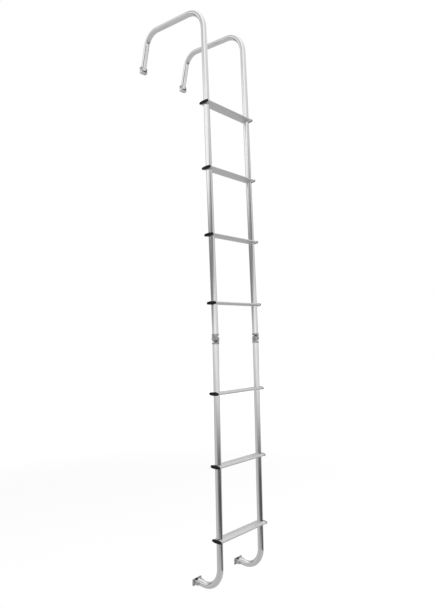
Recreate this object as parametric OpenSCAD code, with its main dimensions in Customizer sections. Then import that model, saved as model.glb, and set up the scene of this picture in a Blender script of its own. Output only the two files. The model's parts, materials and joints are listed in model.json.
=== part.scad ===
// Roof ladder for a caravan or motorhome: two hinged tubular sections with seven flat steps,
// hooked rail tops over the roof edge and four pivoting feet. Millimetres.
// The origin is the middle of the lower left foot's face, where it meets the rear wall.
// X runs along the steps, from the climber's left to the right. Y points at the vehicle. Z is up.

/* [Rails] */
// Outside diameter of the rail tube
rail_od = 25.4; // [22:0.2:32]
// Wall of the rail tube
rail_wall = 1.65; // [1.2:0.05:2.5]
// Distance between the two rail axes
rail_gap = 258; // [230:1:320]
// Radius of the bend that brings the lower rail back to the wall
low_bend_r = 86; // [70:1:110]
// Angle of that bend
low_bend_angle = 93; // [85:1:105]
// Straight tube between that bend and the lower foot's pivot
low_tail = 21.2; // [16:0.1:60]
// Radius of the first bend of the hooked top
hook_bend_r = 104; // [80:1:130]
// Angle of the first bend of the hooked top
hook_bend_angle = 83.5; // [75:0.5:95]
// Straight reach over the roof edge
hook_reach = 206; // [150:1:300]
// Radius of the second bend of the hooked top
tip_bend_r = 69; // [60:1:90]
// Angle of the second bend of the hooked top
tip_bend_angle = 81; // [70:1:90]
// Straight tube between the second bend and the upper foot's pivot
tip_tail = 103.5; // [70:0.5:150]
// How far a bend draws in both faces of the tube's wall
bend_draw = 0.1; // [0.08:0.01:0.15]
// Lean of the upper section towards the vehicle at rest
lean = 1.4; // [0:0.1:5]

/* [Steps] */
// How far the step's section reaches past the outside of each rail
step_overhang = 2.1; // [1:0.1:30]
// Depth of a step from front to back
step_depth = 49.5; // [45:0.5:60]
// Thickness of a step at its middle
step_thick = 12.6; // [11:0.1:16]
// Wall of the hollow step section
step_wall = 1.9; // [1.5:0.1:2.5]
// Radius of the front and back edges of a step
step_edge_r = 3.8; // [3:0.1:4.5]
// Height of the first step above the start of the lower bend
first_rise = 106.4; // [90:0.1:130]
// Spacing of the three steps of the lower section
low_rise = 286.7; // [260:0.1:310]
// Spacing of the four steps of the upper section
high_rise = 279.4; // [260:0.1:310]
// Height of the hinge above the last step of the lower section
hinge_rise = 218.5; // [180:0.5:250]
// Height of the first upper step above the hinge
after_hinge = 146; // [120:0.5:180]
// Straight rail between the last step and the hooked top
top_rise = 328.5; // [280:0.5:380]
// Number of grip flutes along the top of a step
flute_count = 9; // [3:2:11]
// Distance between grip flutes
flute_pitch = 3.8; // [3:0.1:4.2]
// Radius of a grip flute
flute_r = 0.9; // [0.5:0.1:1.1]

/* [End caps] */
// Thickness of the end cap's outer plate
cap_plate = 3.2; // [2:0.1:5]
// How far the cap stands proud of the step section
cap_lip = 0.5; // [0.2:0.1:1]
// Length of the lugs that press into the step section
cap_lug = 9; // [5:0.5:12]

/* [Hinge] */
// Diameter of the hinge casting's collar
collar_d = 28.6; // [27:0.1:35]
// Height of the collar
collar_h = 7.4; // [5:0.1:12]
// Distance from the hinge bolt to the top of the collar
collar_drop = 13.4; // [12:0.1:20]
// Radius of the round knuckle about the hinge bolt
knuckle_r = 11; // [9:0.1:11.5]
// Width of the flat seat under the bolt head, from the rail axis
seat_x = 11.2; // [9:0.1:12]
// Diameter of the hinge bolt
hinge_bolt_d = 8; // [6:0.5:8]
// Length of the spigot inside the rail
spigot_len = 28; // [20:1:40]

/* [Feet] */
// Height of a wall foot's plate
wall_foot_len = 28; // [26:1:40]
// Length of a roof foot's plate
roof_foot_len = 20; // [19:1:40]
// Thickness of a foot's plate
foot_t = 3.5; // [2.5:0.1:4]
// Corner radius of a foot's plate
foot_corner = 4; // [2:0.5:6]
// How far a wall foot's plate reaches past its ears
wall_rim = 9; // [8:0.5:20]
// How far a roof foot's plate reaches past its ears
roof_rim = 0.5; // [0.3:0.1:10]
// Distance from an ear's outside to a screw hole of the wall foot
wall_screw_out = 4; // [3.5:0.1:5]
// Distance between the screw holes of the roof foot
roof_screw_gap = 14; // [13:0.5:15]
// Diameter of the screw holes
screw_d = 5; // [4:0.1:5.4]
// Height of the pivot bolt above the plate's face
pivot_h = 21; // [20:0.5:30]
// Radius of the ears about the pivot bolt
ear_r = 9; // [8:0.1:9.4]
// Thickness of one ear
ear_t = 3; // [2:0.1:4]
// How far the tube reaches past the pivot bolt
tube_past = 8; // [7:0.5:9]
// Thickness of the plug's head on the tube's end
plug_head = 2; // [1:0.1:3]
// Length of the plug inside the tube
plug_len = 20; // [16:1:30]
// Diameter of the pivot bolt
pivot_bolt_d = 6; // [5:0.5:7]

/* [Fits] */
// Radial gap between a rail and the hole in a step
rail_fit = 0.05; // [0.02:0.01:0.2]
// Radial gap between a spigot and the rail's bore
spigot_fit = 0.05; // [0.02:0.01:0.2]
// Radial gap round a bolt or pin
pin_fit = 0.05; // [0.02:0.01:0.1]
// Gap between faces that turn against each other
side_gap = 0.3; // [0.1:0.05:0.5]

/* [Hidden] */
$fn = 64;
bend_lap = 1;
rail_r = rail_od / 2;
bore_r = rail_r - rail_wall;
low_steps = 3;
high_steps = 4;
cut = 200;
arc_points = 8;
edge_points = 5;

// A place on a rail's side view is [y, z, heading], with the heading turned from +Z towards +Y.
function go(s, d) = [s[0] + d * sin(s[2]), s[1] + d * cos(s[2]), s[2]];
function bend_to(s, r, a) =
    [s[0] + r * (cos(s[2]) - cos(s[2] + a)), s[1] + r * (sin(s[2] + a) - sin(s[2])), s[2] + a];

// Lower rail from its foot up to the hinge
low_pivot = [-pivot_h, 0, -low_bend_angle];
low_bend = go(low_pivot, low_tail);
low_top = bend_to(low_bend, low_bend_r, low_bend_angle);
low_run = first_rise + (low_steps - 1) * low_rise + hinge_rise;
hinge_y = low_top[0];
hinge_z = low_top[1] + low_run;

// Upper rail from the hinge to its foot
high_run = after_hinge + (high_steps - 1) * high_rise + top_rise;
hinge = [hinge_y, hinge_z, lean];
high_pivot = go(bend_to(go(bend_to(go(hinge, high_run), hook_bend_r, hook_bend_angle),
    hook_reach), tip_bend_r, tip_bend_angle), tip_tail);

rail_start = collar_drop + collar_h;
step_tube = rail_gap + rail_od + 2 * step_overhang;
ear_out = rail_r + side_gap + ear_t;
sides = ["left", "right"];
side_x = [0, rail_gap];

// Puts its children at a place on the side view, with +Z along the heading
module at(s, x = 0) {
    translate([x, s[0], s[1]]) rotate([-s[2], 0, 0]) children();
}

// A straight length of tube, with its children at the far end. Both ends have a fine chamfer.
module straight(length) {
    outer = rail_r - 2 * bend_draw;
    inner = bore_r + 2 * bend_draw;
    rotate_extrude() polygon([
        [inner, 0], [outer, 0], [rail_r, bend_lap], [rail_r, length - bend_lap],
        [outer, length], [inner, length], [bore_r, length - bend_lap], [bore_r, bend_lap]]);
    translate([0, 0, length]) children();
}

// A bend of the tube towards +Y, with its children at the far end. Bending draws the wall a little
// thinner, so the bend runs into the chamfered ends of the straight tube and joins it there.
module bend(r, angle) {
    over = bend_lap / r * 180 / PI;
    translate([0, r, 0]) {
        rotate([90, 0, -90]) rotate([0, 0, -over]) rotate_extrude(angle = angle + 2 * over)
            translate([r, 0]) difference() {
                circle(r = rail_r - bend_draw);
                circle(r = bore_r + bend_draw);
            }
        rotate([-angle, 0, 0]) translate([0, -r, 0]) children();
    }
}

// Hole along X for a bolt through the origin
module cross_bore(d) {
    rotate([0, 90, 0]) cylinder(h = cut, d = d + 2 * pin_fit, center = true);
}

module lower_rail(x) {
    color("silver") difference() {
        at(go(low_pivot, -tube_past), x)
            straight(low_tail + tube_past) bend(low_bend_r, low_bend_angle) straight(low_run - rail_start);
        at(low_pivot, x) cross_bore(pivot_bolt_d);
    }
}

module upper_rail(x) {
    color("silver") difference() {
        at(go(hinge, rail_start), x)
            straight(high_run - rail_start) bend(hook_bend_r, hook_bend_angle)
            straight(hook_reach) bend(tip_bend_r, tip_bend_angle) straight(tip_tail + tube_past);
        at(high_pivot, x) cross_bore(pivot_bolt_d);
    }
}

// Radius of the wide arcs of a lens outline that meets in round edges
function lens_arc(depth, thick, edge) =
    (pow(depth / 2 - edge, 2) - pow(edge, 2) + pow(thick / 2, 2)) / (thick - 2 * edge);

// Half of a lens outline, from its back edge over the top to its front edge
function lens_half(depth, thick, edge) =
    let (r = lens_arc(depth, thick, edge), half = asin((depth / 2 - edge) / (r - edge)))
    concat(
        [for (i = [-arc_points : arc_points])
            let (a = 90 - i / arc_points * half) [r * cos(a), r * sin(a) - r + thick / 2]],
        [for (i = [1 : edge_points])
            let (a = 90 - half - i / (edge_points + 1) * (180 - 2 * half))
            [depth / 2 - edge + edge * cos(a), edge * sin(a)]]);

module lens(depth, thick, edge) {
    top = lens_half(depth, thick, edge);
    polygon(concat(top, [for (p = top) -p]));
}

// Height of the step's top face at a distance from its middle line
function crown(v) =
    let (r = lens_arc(step_depth, step_thick, step_edge_r)) sqrt(r * r - v * v) - r + step_thick / 2;

module step_outline() {
    difference() {
        lens(step_depth, step_thick, step_edge_r);
        for (i = [0 : flute_count - 1]) {
            v = (i - (flute_count - 1) / 2) * flute_pitch;
            translate([v, crown(v) + flute_r / 2]) circle(r = flute_r, $fn = 24);
        }
    }
}

module step_hollow() {
    lens(step_depth - 3 * step_wall, step_thick - 2 * step_wall, step_edge_r / 2);
}

module step() {
    color("lightgray") difference() {
        translate([-step_tube / 2, 0, 0]) rotate([90, 0, 90]) linear_extrude(height = step_tube)
            difference() {
                step_outline();
                step_hollow();
            }
        for (s = [-1, 1]) translate([s * rail_gap / 2, 0, -step_thick])
            cylinder(h = 2 * step_thick, r = rail_r + rail_fit);
    }
}

// Black cap on a step's end: a plate of the step's outline with two lugs that press inside
module cap() {
    lug_from = rail_r + 2;
    color("black") {
        rotate([90, 0, 90]) linear_extrude(height = cap_plate)
            lens(step_depth + 2 * cap_lip, step_thick + 2 * cap_lip, step_edge_r + cap_lip);
        translate([-cap_lug, 0, 0]) rotate([90, 0, 90]) linear_extrude(height = cap_lug)
            intersection() {
                lens(step_depth - 3 * step_wall - 2 * spigot_fit,
                    step_thick - 2 * step_wall - 2 * spigot_fit, step_edge_r / 2 - spigot_fit);
                for (s = [-1, 1]) translate([s * (lug_from + cut / 2), 0])
                    square([cut, step_thick], center = true);
            }
    }
}

// Place of each step on the side view, counted from the ground
function step_place(i) = i < low_steps
    ? go([low_top[0], low_top[1], 0], first_rise + i * low_rise)
    : go(hinge, after_hinge + (i - low_steps) * high_rise);

// Hinge casting with its collar below the bolt and its half knuckle on the +X side
module hinge_half() {
    tongue = seat_x - side_gap / 2;
    foot_of_tongue = collar_drop + collar_h / 2;
    color("gray") difference() {
        union() {
            translate([0, 0, -collar_drop - collar_h]) cylinder(h = collar_h, d = collar_d);
            translate([0, 0, -rail_start - spigot_len]) cylinder(h = spigot_len, r = bore_r - spigot_fit);
            intersection() {
                translate([0, 0, -foot_of_tongue]) cylinder(h = cut, d = collar_d);
                translate([side_gap / 2, 0, 0]) {
                    rotate([0, 90, 0]) cylinder(h = tongue, r = knuckle_r);
                    translate([0, -knuckle_r, -foot_of_tongue])
                        cube([tongue, 2 * knuckle_r, foot_of_tongue]);
                }
            }
        }
        cross_bore(hinge_bolt_d);
    }
}

// Bolt along X through parts that reach from -head_x to nut_x, with its head on the -X side
module bolt(d, head_x, nut_x, head_h, nut_h, past_nut, across_flats) {
    hex_d = across_flats / cos(30);
    color("dimgray") rotate([0, 90, 0]) {
        translate([0, 0, -head_x]) cylinder(h = head_x + nut_x + nut_h + past_nut, d = d);
        translate([0, 0, -head_x - head_h]) cylinder(h = head_h, d = hex_d, $fn = 6);
        translate([0, 0, nut_x]) cylinder(h = nut_h, d = hex_d, $fn = 6);
    }
}

module hinge_bolt() {
    bolt(hinge_bolt_d, seat_x + side_gap, seat_x, head_h = 5.3, nut_h = 6.3, past_nut = 2,
        across_flats = 13);
}

module pivot_bolt() {
    bolt(pivot_bolt_d, ear_out, ear_out, head_h = 4, nut_h = 5, past_nut = 1.5,
        across_flats = 10);
}

// Plug in a tube's end, with the pivot at the origin and the tube along +Z
module plug() {
    color("black") difference() {
        union() {
            translate([0, 0, -tube_past - plug_head]) cylinder(h = plug_head, r = rail_r - 0.5);
            translate([0, 0, -tube_past]) cylinder(h = plug_len, r = bore_r - spigot_fit);
        }
        cross_bore(pivot_bolt_d);
    }
}

module rounded_plate(width, length) {
    square([width - 2 * foot_corner, length], center = true);
    square([width, length - 2 * foot_corner], center = true);
    for (x = [-1, 1], y = [-1, 1])
        translate([x * (width / 2 - foot_corner), y * (length / 2 - foot_corner)]) circle(r = foot_corner);
}

// Foot with its face at -Z, its pivot at the origin and one ear on each side of the tube
module foot(rim, length, screw_x) {
    color("gray") difference() {
        union() {
            translate([0, 0, -pivot_h]) linear_extrude(height = foot_t)
                rounded_plate(2 * (ear_out + rim), length);
            for (s = [0, 1]) mirror([s, 0, 0]) translate([ear_out - ear_t, 0, 0]) {
                rotate([0, 90, 0]) cylinder(h = ear_t, r = ear_r);
                translate([0, -ear_r, -pivot_h + foot_t / 2])
                    cube([ear_t, 2 * ear_r, pivot_h - foot_t / 2]);
            }
        }
        cross_bore(pivot_bolt_d);
        for (s = [-1, 1])
            translate([s * screw_x, 0, -pivot_h - foot_t]) cylinder(h = 3 * foot_t, d = screw_d);
    }
}

module wall_foot() {
    foot(wall_rim, wall_foot_len, ear_out + wall_screw_out);
}

module roof_foot() {
    foot(roof_rim, roof_foot_len, roof_screw_gap / 2);
}

module shown(name) {
    children();
}

for (i = [0, 1]) {
    x = side_x[i];
    shown(str(sides[i], "_lower_rail")) lower_rail(x);
    shown(str(sides[i], "_upper_rail")) upper_rail(x);
    shown(str(sides[i], "_hinge_lower")) at([hinge[0], hinge[1], 0], x) mirror([i, 0, 0]) hinge_half();
    shown(str(sides[i], "_hinge_upper")) at(hinge, x) mirror([i, 0, 0]) rotate([0, 180, 0]) hinge_half();
    shown(str(sides[i], "_hinge_bolt")) at([hinge[0], hinge[1], 0], x) mirror([i, 0, 0]) hinge_bolt();
    shown(str(sides[i], "_lower_plug")) at(low_pivot, x) plug();
    shown(str(sides[i], "_upper_plug")) at([high_pivot[0], high_pivot[1], high_pivot[2] - 180], x) plug();
    shown(str(sides[i], "_lower_foot")) at([low_pivot[0], low_pivot[1], -90], x) wall_foot();
    shown(str(sides[i], "_lower_pin")) at(low_pivot, x) mirror([i, 0, 0]) pivot_bolt();
    shown(str(sides[i], "_upper_foot")) at([high_pivot[0], high_pivot[1], 0], x) roof_foot();
    shown(str(sides[i], "_upper_pin")) at(high_pivot, x) mirror([i, 0, 0]) pivot_bolt();
}
for (i = [0 : low_steps + high_steps - 1]) {
    name = str("step_", i + 1);
    shown(name) at(step_place(i), rail_gap / 2) step();
    shown(str(name, "_right_cap")) at(step_place(i), rail_gap / 2 + step_tube / 2) cap();
    shown(str(name, "_left_cap")) at(step_place(i), rail_gap / 2 - step_tube / 2) mirror([1, 0, 0]) cap();
}
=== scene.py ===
import json
import math

import bmesh
import bpy
from mathutils import Matrix, Vector


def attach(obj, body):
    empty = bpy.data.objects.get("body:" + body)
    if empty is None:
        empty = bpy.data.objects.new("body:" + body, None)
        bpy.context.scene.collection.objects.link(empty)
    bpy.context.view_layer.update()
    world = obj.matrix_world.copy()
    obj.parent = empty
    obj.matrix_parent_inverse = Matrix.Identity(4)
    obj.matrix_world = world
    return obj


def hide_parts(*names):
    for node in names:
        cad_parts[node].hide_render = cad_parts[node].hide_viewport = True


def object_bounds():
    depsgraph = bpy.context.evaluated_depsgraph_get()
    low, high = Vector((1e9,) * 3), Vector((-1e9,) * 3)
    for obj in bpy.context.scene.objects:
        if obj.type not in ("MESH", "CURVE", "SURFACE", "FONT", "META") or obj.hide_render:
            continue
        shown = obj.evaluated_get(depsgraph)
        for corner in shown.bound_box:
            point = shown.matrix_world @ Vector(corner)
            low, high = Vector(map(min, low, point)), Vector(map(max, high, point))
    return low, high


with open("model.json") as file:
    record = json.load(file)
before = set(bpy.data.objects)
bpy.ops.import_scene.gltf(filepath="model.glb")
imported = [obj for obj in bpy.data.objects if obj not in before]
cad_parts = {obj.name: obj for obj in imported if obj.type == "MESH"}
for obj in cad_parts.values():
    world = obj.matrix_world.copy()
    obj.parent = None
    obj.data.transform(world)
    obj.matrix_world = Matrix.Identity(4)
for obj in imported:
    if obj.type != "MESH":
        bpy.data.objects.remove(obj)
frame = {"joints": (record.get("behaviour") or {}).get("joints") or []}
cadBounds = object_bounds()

# Roof ladder for a camper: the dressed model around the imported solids, in metres and in their frame
mm = 0.001
ladderScene = bpy.context.scene
jointPlace = {joint["name"]: Vector(joint["pos_m"]) for joint in frame["joints"]}
hingePlace = jointPlace["section_hinge"]
sideNames = ("left", "right")
railX = {side: jointPlace[side + "_lower_foot_pivot"].x for side in sideNames}
railGap = railX["right"] - railX["left"]


# Camera: it stands left of the ladder and in front of it, a little below half its height
photoCamera = {
    "place": (-1.5425, -1.5640, 0.99518),
    "yaw": math.radians(47.43388),     # turned from +Y towards +X
    "pitch": math.radians(3.51341),
    "roll": math.radians(1.19045),
    "lens": 30.857,                    # on a 36 mm long side
    "longSide": 36.0,
    "nearest": 0.05,
    "farthest": 60,
}


def makeCamera(spec):
    data = bpy.data.cameras.new("photo_camera")
    data.lens = spec["lens"]
    data.sensor_width = spec["longSide"]
    data.clip_start = spec["nearest"]
    data.clip_end = spec["farthest"]
    camera = bpy.data.objects.new("photo_camera", data)
    turn = (Matrix.Rotation(-spec["yaw"], 4, "Z") @ Matrix.Rotation(spec["pitch"], 4, "X")
            @ Matrix.Rotation(spec["roll"], 4, "Y") @ Matrix.Rotation(math.pi / 2, 4, "X"))
    camera.matrix_world = Matrix.Translation(spec["place"]) @ turn
    ladderScene.collection.objects.link(camera)
    ladderScene.camera = camera


makeCamera(photoCamera)
print("camera made")


# Small helpers for objects, meshes and node trees

def addObject(name, data):
    obj = bpy.data.objects.new(name, data)
    ladderScene.collection.objects.link(obj)
    return obj


def meshFrom(name, points, faces, edges=()):
    mesh = bpy.data.meshes.new(name)
    mesh.from_pydata(points, edges, faces)
    mesh.update()
    return mesh


def faceOut(mesh, mergeWithin=0.0):
    work = bmesh.new()
    work.from_mesh(mesh)
    if mergeWithin:
        bmesh.ops.remove_doubles(work, verts=work.verts, dist=mergeWithin)
    bmesh.ops.recalc_face_normals(work, faces=work.faces)
    work.to_mesh(mesh)
    work.free()


def shadeBy(mesh, degrees):
    mesh.shade_smooth()
    mesh.set_sharp_from_angle(angle=math.radians(degrees))


def frozen(obj):
    # the modifiers' result as the object's own plain mesh
    depsgraph = bpy.context.evaluated_depsgraph_get()
    mesh = bpy.data.meshes.new_from_object(
        obj.evaluated_get(depsgraph), preserve_all_data_layers=True, depsgraph=depsgraph)
    obj.modifiers.clear()
    obj.data = mesh
    return obj


def addNode(tree, kind, values=None, **settings):
    # a node with its settings, then its inputs: a socket is linked, anything else is typed in
    node = tree.nodes.new(kind)
    for key, value in settings.items():
        setattr(node, key, value)
    for key, value in (values or {}).items():
        socket = node.inputs[key]
        if isinstance(value, bpy.types.NodeSocket):
            tree.links.new(value, socket)
        else:
            socket.default_value = value
    return node


def addTree(name, inputs):
    # a geometry node tree with a geometry in and out and the named inputs
    tree = bpy.data.node_groups.new(name, "GeometryNodeTree")
    tree.interface.new_socket("Geometry", in_out="OUTPUT", socket_type="NodeSocketGeometry")
    tree.interface.new_socket("Geometry", in_out="INPUT", socket_type="NodeSocketGeometry")
    for label, kind in inputs:
        tree.interface.new_socket(label, in_out="INPUT", socket_type="NodeSocket" + kind)
    tree.interface.new_socket("Material", in_out="INPUT", socket_type="NodeSocketMaterial")
    return tree, tree.nodes.new("NodeGroupInput").outputs


def endTree(tree, given, geometry):
    realized = addNode(tree, "GeometryNodeRealizeInstances", {"Geometry": geometry})
    painted = addNode(tree, "GeometryNodeSetMaterial", {
        "Geometry": realized.outputs["Geometry"], "Material": given["Material"]})
    sink = tree.nodes.new("NodeGroupOutput")
    tree.links.new(painted.outputs["Geometry"], sink.inputs["Geometry"])


def grow(obj, tree, values):
    # runs the tree on the object with its named inputs set, and keeps the plain mesh
    modifier = obj.modifiers.new(tree.name, "NODES")
    modifier.node_group = tree
    for item in tree.interface.items_tree:
        if item.in_out == "INPUT" and item.name in values:
            modifier[item.identifier] = values[item.name]
    return frozen(obj)


def treeMath(tree, operation, *values):
    return addNode(tree, "ShaderNodeMath", dict(enumerate(values)), operation=operation).outputs[0]


def times(tree, first, second):
    return treeMath(tree, "MULTIPLY", first, second)


def loft(rings):
    # closed solid through rings of equally many points
    count = len(rings[0])
    points = [point for ring in rings for point in ring]
    faces = []
    for start in range(0, count * (len(rings) - 1), count):
        for i in range(count):
            j = (i + 1) % count
            faces.append((start + i, start + j, start + count + j, start + count + i))
    faces += [tuple(reversed(range(count))), tuple(range(len(points) - count, len(points)))]
    return points, faces


def ringAt(radius, height, sides=48):
    # a ring about Z; radius and height may be rules of the angle
    ring = []
    for i in range(sides):
        angle = 2 * math.pi * i / sides
        r = radius(angle) if callable(radius) else radius
        z = height(angle) if callable(height) else height
        ring.append(Vector((r * math.cos(angle), r * math.sin(angle), z)))
    return ring


def solidsMesh(name, solids, place):
    # several closed solids in one mesh, brought to their place and turned outwards
    points, faces = [], []
    for solidPoints, solidFaces in solids:
        start = len(points)
        points += [place @ Vector(point) for point in solidPoints]
        faces += [tuple(start + i for i in face) for face in solidFaces]
    mesh = meshFrom(name, points, faces)
    faceOut(mesh)
    return mesh


def drill(obj, places, radius, depth, turn):
    # round holes along Z at these x, brought to their own way by the turn
    rods = []
    for x in places:
        rods.append(loft([[Vector((x, 0, 0)) + point for point in ringAt(radius, z, 32)] for z in depth]))
    rod = addObject("drill_rods", solidsMesh("drill_rods", rods, turn))
    cut = obj.modifiers.new("holes", "BOOLEAN")
    cut.operation, cut.solver, cut.object = "DIFFERENCE", "EXACT", rod
    frozen(obj)
    bpy.data.objects.remove(rod)


def joinTo(obj, mesh, turn):
    # the object's mesh and another one in one, brought to their place together
    work = bmesh.new()
    work.from_mesh(obj.data)
    work.from_mesh(mesh)
    bmesh.ops.transform(work, matrix=turn, verts=work.verts)
    bmesh.ops.recalc_face_normals(work, faces=work.faces)
    work.to_mesh(obj.data)
    work.free()


def finishPiece(obj, body, material, slotName, *nodes):
    if not obj.data.materials:
        obj.data.materials.append(material)
    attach(obj, body)
    if nodes:
        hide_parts(*nodes)
    return obj


def sectionOf(level):
    return level + "_section"


# Effects that several finishes share, each a shader group built once

def shaderGroup(name, inputs, outputs):
    # inputs are (label, kind, first value), outputs are labels of plain values
    tree = bpy.data.node_groups.new(name, "ShaderNodeTree")
    for label, kind, value in inputs:
        socket = tree.interface.new_socket(label, in_out="INPUT", socket_type="NodeSocket" + kind)
        if value is not None:
            socket.default_value = value
    for label in outputs:
        tree.interface.new_socket(label, in_out="OUTPUT", socket_type="NodeSocketFloat")
    return tree, tree.nodes.new("NodeGroupInput").outputs, tree.nodes.new("NodeGroupOutput").inputs


def stretch(tree, value, low, high, lowTo=0.0, highTo=1.0):
    node = addNode(tree, "ShaderNodeMapRange", {
        "Value": value, "From Min": low, "From Max": high, "To Min": lowTo, "To Max": highTo},
        interpolation_type="SMOOTHSTEP")
    return node.outputs["Result"]


def scaledPlace(tree, place, *sizes):
    # the place counted in the pattern's own lengths, one for each direction
    shares = [treeMath(tree, "DIVIDE", 1.0, size) for size in sizes]
    if len(shares) == 1:
        shares *= 3
    scale = addNode(tree, "ShaderNodeCombineXYZ", dict(enumerate(shares)))
    counted = addNode(tree, "ShaderNodeVectorMath", {0: place, 1: scale.outputs[0]}, operation="MULTIPLY")
    return counted.outputs[0]


def noiseAt(tree, place, detail=2.0, roughness=0.5, distortion=0.0, scale=1.0):
    node = addNode(tree, "ShaderNodeTexNoise", {
        "Vector": place, "Scale": scale, "Detail": detail, "Roughness": roughness,
        "Distortion": distortion})
    return node.outputs["Fac"]


def drawnLinesGroup():
    # lines that drawing or extrusion leaves, running along Z of the place
    tree, given, result = shaderGroup("drawnLines", [
        ("Place", "Vector", None), ("Line Width", "Float", 0.0006), ("Line Length", "Float", 0.12)],
        ["Lines", "Streaks"])
    width, length = given["Line Width"], given["Line Length"]
    fine = noiseAt(tree, scaledPlace(tree, given["Place"], width, width, length), 3.0, 0.6)
    tree.links.new(stretch(tree, fine, 0.36, 0.64), result["Lines"])
    wide, far = times(tree, width, 7.0), times(tree, length, 4.0)
    broad = noiseAt(tree, scaledPlace(tree, given["Place"], wide, wide, far), 2.0)
    tree.links.new(stretch(tree, broad, 0.34, 0.66), result["Streaks"])
    return tree


def handlingGroup():
    # smudges from hands, and hairline scratches in patches
    tree, given, result = shaderGroup("handling", [
        ("Place", "Vector", None), ("Smudge Size", "Float", 0.05), ("Scratch Size", "Float", 0.012)],
        ["Smudge", "Scratch"])
    cloud = noiseAt(tree, scaledPlace(tree, given["Place"], given["Smudge Size"]), 4.0, 0.6, 0.7)
    tree.links.new(stretch(tree, cloud, 0.42, 0.72), result["Smudge"])
    askew = addNode(tree, "ShaderNodeVectorRotate", {
        "Vector": given["Place"], "Rotation": (0.5, 0.9, 0.3)}, rotation_type="EULER_XYZ").outputs["Vector"]
    size, thin = given["Scratch Size"], times(tree, given["Scratch Size"], 0.03)
    line = stretch(tree, noiseAt(tree, scaledPlace(tree, askew, size, thin, thin), 0.0), 0.70, 0.76)
    patch = noiseAt(tree, scaledPlace(tree, given["Place"], times(tree, size, 2.3)))
    tree.links.new(times(tree, line, stretch(tree, patch, 0.52, 0.66)), result["Scratch"])
    return tree


def surfaceGrainGroup():
    # skin of a casting or moulding: rounded grains with a few pits
    tree, given, result = shaderGroup("surfaceGrain", [
        ("Place", "Vector", None), ("Grain Size", "Float", 0.0006), ("Pits", "Float", 0.3)],
        ["Height", "Mottle"])
    place = scaledPlace(tree, given["Place"], given["Grain Size"])
    grains = addNode(tree, "ShaderNodeTexVoronoi", {
        "Vector": place, "Scale": 1.0, "Smoothness": 0.7}, feature="SMOOTH_F1").outputs["Distance"]
    rough = noiseAt(tree, place, 3.0, 0.6, scale=0.6)
    pits = times(tree, stretch(tree, noiseAt(tree, place, 1.0, scale=0.17), 0.62, 0.70), given["Pits"])
    raised = treeMath(tree, "MULTIPLY_ADD", rough, 0.6, times(tree, grains, -0.4))
    tree.links.new(treeMath(tree, "SUBTRACT", raised, pits), result["Height"])
    tree.links.new(stretch(tree, noiseAt(tree, place, 3.0, scale=0.04), 0.35, 0.65), result["Mottle"])
    return tree


def wearAndShadeGroup():
    # edges rubbed bright, and painted shade that darkens the recesses
    tree, given, result = shaderGroup("wearAndShade", [
        ("Place", "Vector", None), ("Edge Width", "Float", 0.0008), ("Breakup Size", "Float", 0.006),
        ("Recess Depth", "Float", 0.006)],
        ["Worn", "Recess"])
    rounded = addNode(tree, "ShaderNodeBevel", {"Radius": given["Edge Width"]}, samples=6)
    flatNormal = tree.nodes.new("ShaderNodeNewGeometry").outputs["Normal"]
    turned = addNode(tree, "ShaderNodeVectorMath", {
        0: rounded.outputs["Normal"], 1: flatNormal}, operation="DOT_PRODUCT")
    edge = stretch(tree, turned.outputs["Value"], 0.80, 0.985, 1.0, 0.0)
    patches = noiseAt(tree, scaledPlace(tree, given["Place"], given["Breakup Size"]), 4.0, 0.65)
    tree.links.new(times(tree, edge, stretch(tree, patches, 0.38, 0.58)), result["Worn"])
    # painted shade: ambient occlusion over a short distance darkens the recesses
    shelter = addNode(tree, "ShaderNodeAmbientOcclusion", {
        "Distance": given["Recess Depth"]}, samples=8, only_local=True)
    tree.links.new(stretch(tree, shelter.outputs["AO"], 0.35, 0.92, 1.0, 0.0), result["Recess"])
    return tree


drawnLines = drawnLinesGroup()
handling = handlingGroup()
surfaceGrain = surfaceGrainGroup()
wearAndShade = wearAndShadeGroup()


# Finishes

def newFinish(name, metallic, constants=None):
    # material, its tree and its shader; constants go on the shader's own sockets
    material = bpy.data.materials.new(name)
    material.use_nodes = True
    tree = material.node_tree
    shader = tree.nodes["Principled BSDF"]
    shader.inputs["Metallic"].default_value = metallic
    for label, value in (constants or {}).items():
        shader.inputs[label].default_value = value
    return material, tree, shader.inputs


def objectPlace(tree, run=None):
    # Object coordinates, or with the run along X turned so that it lies along Z
    where = tree.nodes.new("ShaderNodeTexCoord").outputs["Object"]
    if run != "X":
        return where
    parts = addNode(tree, "ShaderNodeSeparateXYZ", {0: where}).outputs
    turned = addNode(tree, "ShaderNodeCombineXYZ", {"X": parts["Y"], "Y": parts["Z"], "Z": parts["X"]})
    return turned.outputs[0]


def effect(tree, group, where, values):
    # a shared group in this material, with this finish's own values
    return addNode(tree, "ShaderNodeGroup", {"Place": where, **values}, node_tree=group).outputs


def blend(tree, factor, first, second):
    # colours mixed by the factor; each is a socket or three plain levels
    # the node's inputs 6 and 7 and its output 2 are the ones for colours
    colours = [value if isinstance(value, bpy.types.NodeSocket) else (*value, 1)
               for value in (first, second)]
    mixed = addNode(tree, "ShaderNodeMix", data_type="RGBA")
    tree.links.new(factor, mixed.inputs["Factor"])
    for socket, value in zip((mixed.inputs[6], mixed.inputs[7]), colours):
        if isinstance(value, bpy.types.NodeSocket):
            tree.links.new(value, socket)
        else:
            socket.default_value = value
    return mixed.outputs[2]


def scaledSum(tree, start, *terms):
    # start + value * weight for each term
    total = start
    for value, weight in terms:
        total = treeMath(tree, "MULTIPLY_ADD", value, weight, total)
    return total


def recessShadeAndWear(tree, tone, wear, spec):
    # painted shade that darkens the recesses, and bare metal on rubbed edges
    tone = blend(tree, times(tree, wear["Recess"], spec["recess"]), tone, spec["recessShade"])
    return blend(tree, times(tree, wear["Worn"], spec["wear"]), tone, spec["bare"])


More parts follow.
